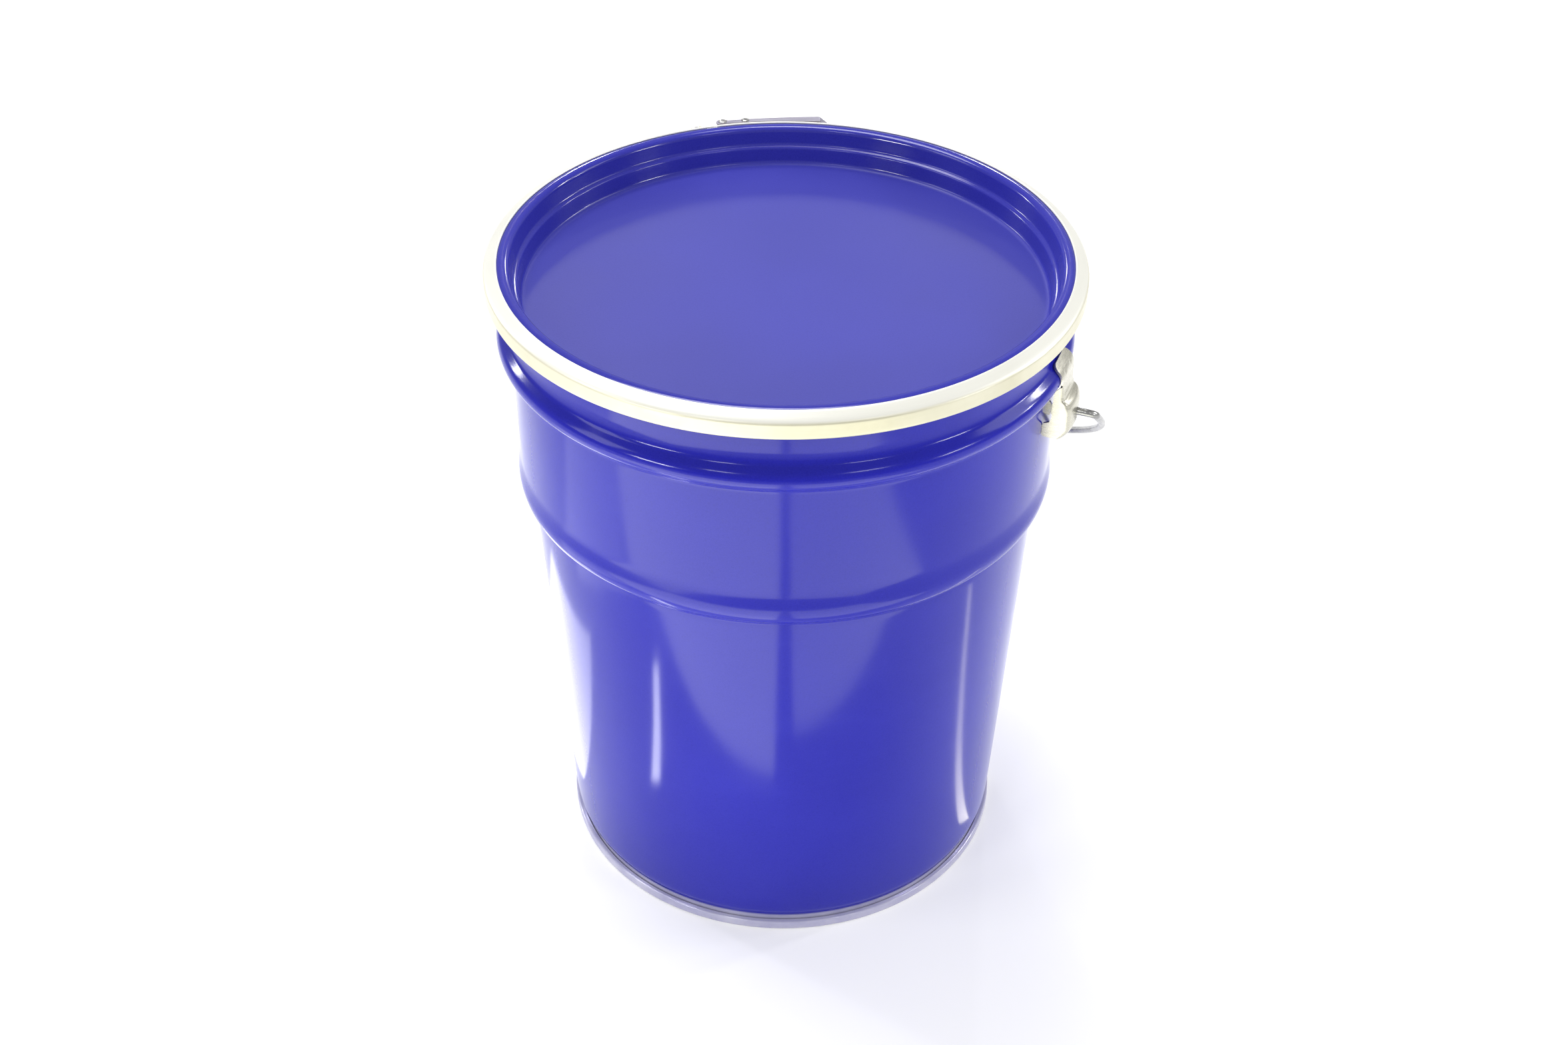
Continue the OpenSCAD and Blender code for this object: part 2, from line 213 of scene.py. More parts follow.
class Nodes:
    """Short helpers to wire a Principled material."""

    def __init__(self, name):
        self.m = bpy.data.materials.new(name)
        self.m.use_nodes = True
        self.nt = self.m.node_tree
        self.nt.nodes.clear()
        self.out = self.nt.nodes.new("ShaderNodeOutputMaterial")
        self.b = self.nt.nodes.new("ShaderNodeBsdfPrincipled")
        self.nt.links.new(self.b.outputs[0], self.out.inputs[0])
        self.co = self.nt.nodes.new("ShaderNodeTexCoord").outputs["Object"]

    def set(self, **values):
        for k, v in values.items():
            self.b.inputs[k.replace("_", " ")].default_value = v
        return self

    def link(self, a, b):
        self.nt.links.new(a, b)

    def mapped(self, scale, vec=None):
        n = self.nt.nodes.new("ShaderNodeMapping")
        n.inputs["Scale"].default_value = scale
        self.link(vec or self.co, n.inputs["Vector"])
        return n.outputs[0]

    def noise(self, scale, detail=3.0, rough=0.5, vec=None, distortion=0.0):
        n = self.nt.nodes.new("ShaderNodeTexNoise")
        n.inputs["Scale"].default_value = scale
        n.inputs["Detail"].default_value = detail
        n.inputs["Roughness"].default_value = rough
        n.inputs["Distortion"].default_value = distortion
        self.link(vec or self.co, n.inputs["Vector"])
        return n.outputs["Fac"]

    def ramp(self, fac, lo, hi, a=0.0, b=1.0):
        n = self.nt.nodes.new("ShaderNodeMapRange")
        n.clamp = True
        n.inputs["From Min"].default_value = lo
        n.inputs["From Max"].default_value = hi
        n.inputs["To Min"].default_value = a
        n.inputs["To Max"].default_value = b
        self.link(fac, n.inputs["Value"])
        return n.outputs[0]

    def math(self, op, a, b=None):
        n = self.nt.nodes.new("ShaderNodeMath")
        n.operation = op
        for i, v in enumerate([a, b]):
            if v is None:
                continue
            if isinstance(v, (int, float)):
                n.inputs[i].default_value = v
            else:
                self.link(v, n.inputs[i])
        return n.outputs[0]

    def mix(self, fac, a, b):
        n = self.nt.nodes.new("ShaderNodeMix")
        n.data_type = "RGBA"
        if isinstance(fac, (int, float)):
            n.inputs[0].default_value = fac
        else:
            self.link(fac, n.inputs[0])
        for i, v in ((6, a), (7, b)):
            if isinstance(v, tuple):
                n.inputs[i].default_value = (*v, 1.0)
            else:
                self.link(v, n.inputs[i])
        return n.outputs[2]

    def bump(self, height, strength, distance, normal=None):
        n = self.nt.nodes.new("ShaderNodeBump")
        n.inputs["Strength"].default_value = strength
        n.inputs["Distance"].default_value = distance
        self.link(height, n.inputs["Height"])
        if normal is not None:
            self.link(normal, n.inputs["Normal"])
        return n.outputs[0]

    def z(self):
        n = self.nt.nodes.new("ShaderNodeSeparateXYZ")
        self.link(self.co, n.inputs[0])
        return n.outputs[2]

    def round_vec(self, along, up, out):
        """Coordinates that run round the can's axis: stretched noise on them gives rolled or drawn grain."""
        s = self.nt.nodes.new("ShaderNodeSeparateXYZ")
        self.link(self.co, s.inputs[0])
        ang = self.math("ARCTAN2", s.outputs[1], s.outputs[0])
        r = self.math("SQRT", self.math("ADD", self.math("MULTIPLY", s.outputs[0], s.outputs[0]), self.math("MULTIPLY", s.outputs[1], s.outputs[1])))
        c = self.nt.nodes.new("ShaderNodeCombineXYZ")
        self.link(self.math("MULTIPLY", ang, along), c.inputs[0])
        self.link(self.math("MULTIPLY", s.outputs[2], up), c.inputs[1])
        self.link(self.math("MULTIPLY", r, out), c.inputs[2])
        return c.outputs[0]


def enamel(name, deep, light, rough, coat, coat_rough, peel, wave, spec=0.5, panel=None):
    n = Nodes(name)
    broad = n.noise(7.0, 3, 0.5)
    fine = n.noise(1500.0, 2, 0.6)
    colour = n.mix(n.ramp(broad, 0.35, 0.68), deep, light)
    # thin dust and rubbed film, seen as slightly paler, rougher specks and long faint wipes
    wipe = n.ramp(n.noise(1.0, 4, 0.62, n.mapped((14.0, 14.0, 60.0))), 0.52, 0.86)
    speck = n.ramp(n.noise(700.0, 2, 0.5), 0.66, 0.76)
    pale = tuple(min(1.0, c * 1.25 + 0.012) for c in light)
    colour = n.mix(n.math("MULTIPLY", wipe, 0.10), colour, pale)
    colour = n.mix(n.math("MULTIPLY", speck, 0.14), colour, pale)
    colour = n.mix(n.ramp(fine, 0.35, 0.65, 0.0, 0.16), colour, pale)
    colour = n.mix(n.ramp(n.noise(900.0, 2, 0.6), 0.52, 0.70, 0.0, 0.22), colour, tuple(c * 0.6 for c in deep))
    # paint rubbed through to bare steel on the foot of the seam, in patches
    foot = n.math("MULTIPLY", n.ramp(n.z(), 0.0012, 0.0002), n.ramp(n.noise(120.0, 4, 0.6), 0.45, 0.6))
    colour = n.mix(foot, colour, (0.42, 0.41, 0.40))
    metal = n.math("MULTIPLY", foot, 0.8)
    if panel is None:
        # painted highlight and reflection: the seam's edge and the groove just above it are painted pale lavender all
        # round, in noisy patches, with a little metal mixed in
        seam_highlight_paint = n.ramp(n.noise(60.0, 4, 0.6), 0.25, 0.70, 0.62, 0.92)
        seam_highlight_paint = n.math("MULTIPLY", seam_highlight_paint, n.ramp(n.z(), 0.0100, 0.0076))
        colour = n.mix(seam_highlight_paint, colour, (0.60, 0.59, 0.70))
        metal = n.math("MAXIMUM", metal, n.math("MULTIPLY", seam_highlight_paint, 0.35))
    n.link(colour, n.b.inputs["Base Color"])
    n.link(metal, n.b.inputs["Metallic"])
    r = n.math("ADD", n.ramp(broad, 0.3, 0.7, rough - 0.02, rough + 0.03), n.math("MULTIPLY", wipe, 0.04))
    if panel is not None:
        # the flat panel is dulled by dust and handling, its turned-up wall and rim keep their gloss
        dull = n.ramp(n.z(), 0.3514, 0.3502, 0.0, panel - rough)
        r = n.math("ADD", r, dull)
    n.link(r, n.b.inputs["Roughness"])
    nrm = n.bump(n.noise(9.0, 2, 0.45), 1.0, wave)
    nrm = n.bump(n.noise(620.0, 2, 0.5), 1.0, peel, nrm)
    n.link(nrm, n.b.inputs["Normal"])
    n.set(Coat_Weight=coat, Coat_Roughness=coat_rough, Coat_IOR=1.5, IOR=1.5, Specular_IOR_Level=spec)
    return n.m


def zinc(name, base, dull, metallic, rough, ring=True, bright=0.0):
    n = Nodes(name)
    vec = n.round_vec(4.0, 2600.0, 2600.0) if ring else n.mapped((160.0, 160.0, 2200.0))
    grain = n.noise(1.0, 5, 0.65, vec)
    spangle = n.nt.nodes.new("ShaderNodeTexVoronoi")
    spangle.inputs["Scale"].default_value = 240.0
    n.link(n.co, spangle.inputs["Vector"])
    sp = n.ramp(spangle.outputs["Distance"], 0.1, 0.7)
    cloud = n.noise(26.0, 4, 0.55)
    colour = n.mix(n.ramp(cloud, 0.38, 0.66), base, dull)
    colour = n.mix(n.math("MULTIPLY", sp, 0.10), colour, tuple(min(1.0, c * 1.08) for c in base))
    colour = n.mix(n.ramp(grain, 0.56, 0.74, 0.0, 0.22), colour, tuple(c * 0.72 for c in dull))
    smear = n.ramp(n.noise(70.0, 4, 0.65), 0.66, 0.80, 0.0, 0.35)
    colour = n.mix(smear, colour, tuple(c * 0.62 for c in dull))
    if ring:
        # painted highlight: the flat top of the band is painted paler than its side, for the light falling on it from
        # above
        colour = n.mix(n.ramp(n.z(), 0.3670, 0.3680, 0.0, 0.75), colour, (0.80, 0.80, 0.76))
    n.link(colour, n.b.inputs["Base Color"])
    n.link(n.math("ADD", n.ramp(grain, 0.3, 0.7, rough - 0.05, rough + 0.08), n.math("MULTIPLY", smear, 0.3)), n.b.inputs["Roughness"])
    nrm = n.bump(grain, 0.35, 0.00004)
    nrm = n.bump(cloud, 0.5, 0.00008, nrm)
    n.link(nrm, n.b.inputs["Normal"])
    n.set(Metallic=metallic, Specular_IOR_Level=0.6, IOR=1.5)
    return n.m


def plain_steel(name, base, rough):
    n = Nodes(name)
    grain = n.noise(900.0, 3, 0.6)
    cloud = n.noise(90.0, 4, 0.6)
    colour = n.mix(n.ramp(cloud, 0.4, 0.7), base, tuple(c * 0.7 for c in base))
    colour = n.mix(n.ramp(grain, 0.6, 0.75, 0.0, 0.4), colour, tuple(c * 0.45 for c in base))
    n.link(colour, n.b.inputs["Base Color"])
    n.link(n.ramp(grain, 0.3, 0.75, rough - 0.06, rough + 0.14), n.b.inputs["Roughness"])
    n.link(n.bump(grain, 0.4, 0.00004), n.b.inputs["Normal"])
    n.set(Metallic=1.0)
    return n.m


def polymer(name, base, rough, grain_scale, grain_depth, sheen=0.0):
    n = Nodes(name)
    g = n.noise(grain_scale, 3, 0.6)
    cloud = n.noise(60.0, 3, 0.5)
    colour = n.mix(n.ramp(cloud, 0.35, 0.7), base, tuple(min(1.0, c * 1.6 + 0.006) for c in base))
    colour = n.mix(n.ramp(g, 0.62, 0.78, 0.0, 0.35), colour, tuple(min(1.0, c * 2.2 + 0.02) for c in base))
    n.link(colour, n.b.inputs["Base Color"])
    n.link(n.ramp(g, 0.3, 0.7, rough - 0.06, rough + 0.1), n.b.inputs["Roughness"])
    n.link(n.bump(g, 0.6, grain_depth), n.b.inputs["Normal"])
    n.set(Specular_IOR_Level=0.4)
    return n.m


BODY = enamel("enamel_body", (0.0060, 0.0066, 0.285), (0.0095, 0.0105, 0.335), 0.13, 0.0, 0.05, 0.0000016, 0.00040, 0.30)
LID = enamel("enamel_lid", (0.018, 0.019, 0.270), (0.026, 0.027, 0.310), 0.12, 0.0, 0.12, 0.0000040, 0.00010, 0.38, panel=0.50)
RING = zinc("zinc_ring", (0.62, 0.60, 0.475), (0.55, 0.53, 0.395), 0.30, 0.34)
EAR = zinc("zinc_ear", (0.56, 0.545, 0.47), (0.46, 0.45, 0.37), 0.75, 0.26, ring=False)
# the lever's violet tint is painted reflection of the blue lid on grey zinc
LEVER = zinc("zinc_lever", (0.36, 0.34, 0.42), (0.27, 0.255, 0.33), 0.55, 0.34, ring=False)
PIN = plain_steel("steel_pin", (0.42, 0.415, 0.41), 0.30)
WIRE = plain_steel("steel_wire", (0.36, 0.36, 0.355), 0.26)
GRIP = polymer("grip_plastic", (0.018, 0.018, 0.021), 0.42, 1100.0, 0.00006)
SEAL = polymer("seal_rubber", (0.030, 0.030, 0.032), 0.62, 700.0, 0.00012)

# ------------------------------------------------------------------ pail

T = 0.8
outer = (
    [(124.0, 1.1), (124.0, 7.0), (124.4, 9.0), (126.2, 13.0), (126.5, 16.0), (137.8, 232.5)]
    + arc(140.0, 235.0, 2.2, 180, 110, 3)
    + [(144.0, 241.9), (144.9, 244.9), (145.2, 247.5), (145.0, 250.1), (144.3, 253.5), (143.75, 256.9), (143.6, 259.0)]
    + [(143.6, 320.0), (143.9, 321.5), (144.8, 322.9)]
    + arc(144.4, 330.5, 6.6, -62, 48, 9)
    + [(145.6, 338.1), (144.7, 340.7), (144.4, 343.0), (144.4, 363.4)]
    + arc(147.6, 363.4, 3.2, 180, -128, 20)[1:]
)
inner = side(outer, -T)
SEGS = 360
shell_prof = soften(outer + inner[::-1], cap=3.0)
bm = bmesh.new()
lathe_into(bm, shell_prof, SEGS)
lathe_into(bm, soften([(123.2, 1.1), (126.0, 1.1), (126.0, 4.2), (125.3, 4.2), (125.3, 1.8), (123.2, 1.8)], cap=0.35, step=15), SEGS)
shell = mesh_object("pail_wall", bm, BODY)
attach(shell, "pail")
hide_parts("body_shell")

bottom_prof = [
    (0, 5.0), (40, 5.0), (80, 5.0), (116.5, 5.0), (118.6, 4.4), (119.8, 2.6), (121.0, 0.6), (121.8, 0), (126.4, 0), (127.0, 0.3), (127.3, 1.0),
    (127.3, 4.6), (127.0, 5.4), (126.4, 5.7), (125.0, 5.7), (124.4, 5.4), (124.25, 5.0), (124.25, 2.3), (124.95, 2.3), (124.95, 4.8),
    (125.2, 5.0), (126.2, 5.0), (126.55, 4.6), (126.55, 1.1), (126.2, 0.75), (122.9, 0.75), (122.75, 1.2), (122.75, 6.4), (122.05, 6.4),
    (121.7, 1.9), (120.5, 3.2), (119.2, 5.0), (117.0, 5.8), (80, 5.8), (40, 5.8), (0, 5.8)]
bottom = lathe("pail_bottom", soften(bottom_prof, closed=False, cap=1.6, step=10), BODY, SEGS, closed=False)
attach(bottom, "pail")
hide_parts("bottom_plate")

# ------------------------------------------------------------------ lid and gasket

skin = [
    (0, 350), (30, 350), (60, 350), (90, 350), (115, 350), (134.5, 350), (135.6, 350.25), (136.5, 350.9), (137, 351.9), (137.9, 358.2), (138.15, 359.2), (138.8, 359.8), (139.7, 360.1),
    (140.3, 360.8), (140.6, 362), (141.5, 367.8), (142, 369.1), (142.9, 369.9), (144.1, 370.3), (145.6, 370.4), (147, 370.15), (148.6, 369.5),
    (150.4, 368.65), (151.8, 367.8), (152.6, 366.9), (152.95, 365.8), (152.95, 362.2)]
under = side(skin, T)
lid = lathe("lid_pressing", soften(skin + under[::-1], closed=False, cap=2.0), LID, SEGS, closed=False)
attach(lid, "lid")
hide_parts("lid")

gasket_prof = [(144.6, 366.75), (145.9, 367.38), (147.6, 367.55), (149.3, 367.28), (150.3, 366.8), (150.5, 367.55), (148.4, 368.6), (146.6, 369.3), (144.9, 369.35), (143.7, 368.6)]
gasket = lathe("lid_seal", soften(gasket_prof, cap=0.8, step=8), SEAL, 240)
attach(gasket, "lid")
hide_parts("lid_gasket")

# ------------------------------------------------------------------ lock ring

LEVER_AZ = 111.5
gap0 = LEVER_AZ + 15.2 - 1.3
gap1 = LEVER_AZ + 15.2 + 1.3
ring_skin = [(147.9, 370.85), (149.0, 370.65), (153.0, 368.65), (154.1, 367.95), (154.75, 367.2), (155.0, 366.6), (155.0, 359.8), (154.75, 359.05), (154.1, 358.45), (149.6, 356.8), (149.0, 356.7)]
ring_prof = soften(ring_skin + side(ring_skin, 1.0)[::-1], cap=0.9, step=8, support=0.5)
ring = lathe("lock_ring_band", ring_prof, RING, SEGS, a0=gap1, a1=gap0 + 360)
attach(ring, "ring")
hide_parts("ring_band")

RIVET_DIRS = [-5.6, 0.2, -22.2, -24.9]
bm = bmesh.new()
rivet = soften([(0, 154.05), (1.4, 154.05), (1.4, 156.2), (2.3, 156.2), (2.2, 156.6), (1.7, 157.0), (1.0, 157.2), (0, 157.25)], closed=False, cap=0.3, step=12)
for a in RIVET_DIRS:
    move = Matrix.Rotation(rad(LEVER_AZ - a), 4, "Z") @ Matrix.Translation((0, 0, 363.2 * MM)) @ Matrix.Rotation(rad(90), 4, "Y")
    lathe_into(bm, rivet, 40, closed=False, move=move)
rivets = mesh_object("bracket_rivets", bm, PIN)
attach(rivets, "ring")
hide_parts("ring_rivets")

# ------------------------------------------------------------------ ears

W = 11.1          # half width at the wall, mm
inner_line = (
    [(145.7, 338.4)] + arc(144.4, 330.5, 6.7, 48, -8, 6)
    + [(151.5, 326.5), (151.8, 321.5), (152.8, 319.1), (155.9, 317.0), (157.0, 314.4), (157.0, 303.5), (156.0, 300.8), (153.4, 297.8)])
ear_line = side(inner_line, -1.5)
ear_line = soften(ear_line, closed=False, cap=2.4, step=4, support=0.5)
cum = [0.0]
for a, b in zip(ear_line, ear_line[1:]):
    cum.append(cum[-1] + math.dist(a, b))
steps = 150
S = [cum[-1] * i / steps for i in range(steps + 1)]
EAR_PTS = [(float(np.interp(s, cum, [p[0] for p in ear_line])), float(np.interp(s, cum, [p[1] for p in ear_line]))) for s in S]
LIM_Z = [297.0, 297.9, 303.4, 304.6, 306.0, 309.0, 316.0, 321.0, 324.5, 326.0, 327.5, 329.0]
LIM_R = [144.4, 143.7, 143.7, 144.3, 147.2, 148.2, 148.3, 148.2, 148.6, 149.9, 151.2, 152.2]


def ear_mesh(name, mirror):
    total = cum[-1]
    grid = []
    flat_n, bend_n, fl_n = 26, 5, 10
    bm = bmesh.new()
    for s, (r, z) in zip(S, EAR_PTS):
        rc = 4.0
        w = W
        if s < rc:
            w = min(w, W - (rc - math.sqrt(max(0.0, rc * rc - (rc - s) ** 2))))
        f = 0.0
        if z < 329.2:
            f = max(0.0, r - float(np.interp(z, LIM_Z, LIM_R)))
            f *= min(1.0, (329.2 - z) / 1.5)
        rb = min(1.8, f)
        row = []
        for k in range(fl_n):
            row.append((-w, f - (f - rb) * k / fl_n))
        for k in range(bend_n + 1):
            a = rad(90 * k / bend_n)
            row.append((-w + rb * (1 - math.cos(a)), rb * (1 - math.sin(a))))
        half = [(-q[0], q[1]) for q in reversed(row)]
        x0 = row[-1][0]
        mid = [(x0 + (-2 * x0) * k / flat_n, 0.0) for k in range(1, flat_n)]
        row = row + mid + half
        line = []
        for x, depth in row:
            dimple = 0.0
            for cx in (-5.0, 5.0):
                q = math.hypot(x - cx, z - 334.6)
                if q < 2.2 and s < 14:
                    dimple = 0.35 * (math.cos(math.pi * q / 2.2) + 1) / 2
            # the pocket is fullest in the middle and eases off towards the sides
            if z < 321.0:
                dimple += 1.5 * min(1.0, (321.0 - z) / 4.0) * (abs(x) / W) ** 2.5 * (1.0 if depth < 0.01 else 0.0)
                if depth >= 0.01:
                    dimple += 1.5 * min(1.0, (321.0 - z) / 4.0) * max(0.0, 1 - depth / max(f, 0.1))
            rr = r - depth - dimple
            ang = x / 150.0
            line.append(bm.verts.new((rr * math.cos(ang) * MM, rr * math.sin(ang) * MM, z * MM)))
        grid.append(line)
    for a, b in zip(grid, grid[1:]):
        for k in range(len(a) - 1):
            bm.faces.new([a[k], b[k], b[k + 1], a[k + 1]])
    bmesh.ops.remove_doubles(bm, verts=bm.verts, dist=1e-6)
    bmesh.ops.dissolve_degenerate(bm, edges=bm.edges, dist=1e-6)
    ob = mesh_object(name, bm, EAR)
    # outward faces, so that the sheet thickness goes inwards
    c = ob.data.polygons[len(ob.data.polygons) // 2]
    if c.normal.x < 0:
        ob.data.flip_normals()
    so = ob.modifiers.new("thick", "SOLIDIFY")
    so.thickness = 1.35 * MM
    so.offset = -1
    so.use_even_offset = False
    apply_modifiers(ob)
    cut_bm = bmesh.new()
    lathe_into(cut_bm, [(0, 140), (2.15, 140), (2.15, 170), (0, 170)], 40, closed=False,
               move=Matrix.Translation((0, 0, 309 * MM)) @ Matrix.Rotation(rad(90), 4, "Y"))
    cutter = mesh_object("cutter", cut_bm, EAR)
    bo = ob.modifiers.new("hole", "BOOLEAN")
    bo.operation = "DIFFERENCE"
    bo.object = cutter
    bo.solver = "EXACT"
    apply_modifiers(ob)
    bpy.data.objects.remove(cutter)
    # the left ear is the mirror image of the right one
    bm = bmesh.new()
    bm.from_mesh(ob.data)
    if mirror:
        bm.transform(Matrix.Scale(-1, 4, (1, 0, 0)))
        bmesh.ops.reverse_faces(bm, faces=bm.faces)
    bm.to_mesh(ob.data)
    bm.free()
    ob.data.materials.clear()
    ob.data.materials.append(EAR)
    for p in ob.data.polygons:
        p.use_smooth = True
    ob.data.set_sharp_from_angle(angle=rad(38))
    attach(ob, "pail")
    return ob


ear_r = ear_mesh("ear_pressing_right", False)
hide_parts("ear_right")
ear_l = ear_mesh("ear_pressing_left", True)
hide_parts("ear_left")

# ------------------------------------------------------------------ lever, link and pins

LF = Matrix.Rotation(rad(LEVER_AZ - 90), 4, "Z")
PA, PP, PB = (-33.0, 157.2), (-20.0, 158.9), (-48.0, 151.9)
LZ0, LZ1 = 358.0, 366.7
LC, LRO = (23.3, -168.7), 333.0


def y_out(x):
    y = LC[1] + math.sqrt(LRO ** 2 - (x - LC[0]) ** 2) if x >= PA[0] else -1e9
    d = 3.9 ** 2 - (x - PA[0]) ** 2
    return max(y, PA[1] + math.sqrt(d)) if d > 0 else y


def y_in(x):
    arc_y = LC[1] + math.sqrt((LRO - 7.0) ** 2 - (x - LC[0]) ** 2)
    d = 3.9 ** 2 - (x - PA[0]) ** 2
    base = min(arc_y, PA[1] - math.sqrt(d)) if d > 0 else arc_y
    if x < PA[0]:
        base = PA[1] - math.sqrt(max(0.0, d))
    return max(base, math.sqrt(157.7 ** 2 - x * x))


bm = bmesh.new()
xs = [PA[0] - 3.88 + 3.88 * (1 - math.cos(rad(90 * k / 12))) for k in range(13)]
x = PA[0]
while x < 29.0 - 0.4:
    x += 0.62
    xs.append(min(x, 29.0))
if xs[-1] < 29.0:
    xs.append(29.0)
xs = sorted(set(round(v, 4) for v in xs + [-13.0, 23.0]))
web_n, bend_n, face_n = 8, 6, 8
rows = []
for x in xs:
    yo, yi = y_out(x), y_in(x)
    if yo - yi < 0.3:
        yi = yo - 0.3
    zt = LZ1 - max(0.0, x - 23.0) * math.tan(rad(40))
    rb = min(1.5, (yo - yi) * 0.45)
    row = [(yi + (yo - rb - yi) * k / web_n, LZ0) for k in range(web_n)]
    row += [(yo - rb + rb * math.sin(rad(90 * k / bend_n)), LZ0 + rb - rb * math.cos(rad(90 * k / bend_n))) for k in range(bend_n + 1)]
    row += [(yo, LZ0 + rb + (zt - rb - LZ0 - rb) * k / face_n) for k in range(1, face_n)]
    row += [(yo - rb + rb * math.cos(rad(90 * k / bend_n)), zt - rb + rb * math.sin(rad(90 * k / bend_n))) for k in range(bend_n + 1)]
    row += [(yo - rb - (yo - rb - yi) * k / web_n, zt) for k in range(1, web_n + 1)]
    rows.append([bm.verts.new(LF @ Vector((x * MM, y * MM, z * MM))) for y, z in row])
lo_f, hi_f = web_n + bend_n - 1, web_n + bend_n + face_n
for (xa, a), (xb, b) in zip(zip(xs, rows), zip(xs[1:], rows[1:])):
    for k in range(len(a) - 1):
        if xb <= -13.0 and lo_f < k < hi_f - 0:
            continue
        bm.faces.new([a[k], a[k + 1], b[k + 1], b[k]])
bmesh.ops.remove_doubles(bm, verts=bm.verts, dist=1e-6)
lever = mesh_object("lever_channel", bm, LEVER)
mid = (LF @ Vector((5 * MM, 200 * MM, 362 * MM)))
vis = [p for p in lever.data.polygons if abs(p.center.z - 0.3624) < 0.0015]
if sum(p.normal.dot(Vector((mid.x, mid.y, 0)).normalized()) for p in vis) < 0:
    lever.data.flip_normals()
so = lever.modifiers.new("thick", "SOLIDIFY")
so.thickness = 0.98 * MM
so.offset = -1
so.use_even_offset = True
so.use_rim = True
be = lever.modifiers.new("edge", "BEVEL")
be.width = 0.18 * MM
be.segments = 2
be.limit_method = "ANGLE"
be.angle_limit = rad(50)
apply_modifiers(lever)
for p in lever.data.polygons:
    p.use_smooth = True
lever.data.set_sharp_from_angle(angle=rad(50))
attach(lever, "lever")
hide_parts("lever")


def stud(z0, z1, head_lo, head_hi, r, hr):
    """Half section of a pin with formed heads below z0 or above z1."""
    p = []
    if head_lo:
        p += [(0, z0 - 0.7), (hr - 0.7, z0 - 0.7), (hr, z0 - 0.35), (hr, z0), (r, z0)]
    else:
        p += [(0, z0), (r - 0.2, z0), (r, z0 + 0.2)]
    if head_hi:
        p += [(r, z1), (hr, z1), (hr, z1 + 0.35), (hr - 0.7, z1 + 0.7), (0, z1 + 0.7)]
    else:
        p += [(r, z1 - 0.2), (r - 0.2, z1), (0, z1)]
    return soften(p, closed=False, cap=0.3, step=15)


bm = bmesh.new()
at_a = LF @ Matrix.Translation((PA[0] * MM, PA[1] * MM, 0))
lathe_into(bm, stud(LZ0, 360.15, True, False, 1.5, 2.4), 40, closed=False, move=at_a)
lathe_into(bm, stud(364.55, LZ1, False, True, 1.5, 2.4), 40, closed=False, move=at_a)
piv = mesh_object("lever_pivots", bm, PIN)
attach(piv, "lever")
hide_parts("lever_pivot_rivets")

bm = bmesh.new()
lathe_into(bm, stud(LZ0, LZ1, True, True, 1.5, 2.3), 40, closed=False, move=LF @ Matrix.Translation((PP[0] * MM, PP[1] * MM, 0)))
lp = mesh_object("link_pivot", bm, PIN)
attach(lp, "lever")
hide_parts("link_pivot_pin")

bm = bmesh.new()
lathe_into(bm, stud(359.15, 365.55, False, False, 1.5, 2.3), 40, closed=False, move=LF @ Matrix.Translation((PB[0] * MM, PB[1] * MM, 0)))
hp = mesh_object("hook_pin", bm, PIN)
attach(hp, "link")
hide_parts("link_hook_pin")

# link: a bar with an eye at each end, eased edges
p0, p1 = Vector(PP), Vector(PB)
d = (p1 - p0).normalized()
base_ang = math.degrees(math.atan2(d.y, d.x))
ol = []
for k in range(25):
    a = rad(base_ang + 180 - 150 + 300 * k / 24)
    ol.append((PP[0] + 3.0 * math.cos(a), PP[1] + 3.0 * math.sin(a)))
for k in range(25):
    a = rad(base_ang - 149 + 298 * k / 24)
    ol.append((PB[0] + 2.9 * math.cos(a), PB[1] + 2.9 * math.sin(a)))
bm = bmesh.new()
prism_into(bm, ol, 360.3, 364.4, LF)
bevel_sharp(bm, 0.35, 60, 3)
link = mesh_object("link_bar", bm, PIN)
link.data.set_sharp_from_angle(angle=rad(40))
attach(link, "link")
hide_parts("link")

# ------------------------------------------------------------------ bail and grip

BAIL = Matrix.Translation((0, 0, 309 * MM)) @ Matrix.Rotation(rad(-39.5), 4, "X")
BR, LEG, BEND = 168.0, 19.0, 5.0
pts = [(153.0, 0.0), (157.0, 0.0), (160.0, 0.0), (162.0, 0.0)]
pts += [(BR - BEND + BEND * math.sin(rad(90 * k / 14)), BEND - BEND * math.cos(rad(90 * k / 14))) for k in range(15)]
pts += [(BR, BEND + (LEG - BEND) * k / 6) for k in range(1, 6)]
pts += [(BR * math.cos(rad(180 * k / 220)), LEG + BR * math.sin(rad(180 * k / 220))) for k in range(221)]
pts += [(-q[0], q[1]) for q in reversed(pts[:24])]
clean = []
for q in pts:
    if not clean or math.dist(q, clean[-1]) > 0.05:
        clean.append(q)
bm = bmesh.new()
tube_into(bm, [BAIL @ Vector((q[0] * MM, q[1] * MM, 0)) for q in clean], 2.0 * MM, 28)
for s in (1, -1):
    head = soften([(0, 151.2), (2.6, 151.2), (3.2, 151.7), (3.2, 152.6), (2.8, 153.1), (1.9, 153.1), (0, 153.1)], closed=False, cap=0.4, step=12)
    move = BAIL @ Matrix.Rotation(rad(90 * s), 4, "Y")
    lathe_into(bm, head, 36, closed=False, move=move)
wire = mesh_object("bail_wire_bent", bm, WIRE)
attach(wire, "bail")
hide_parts("bail_wire")

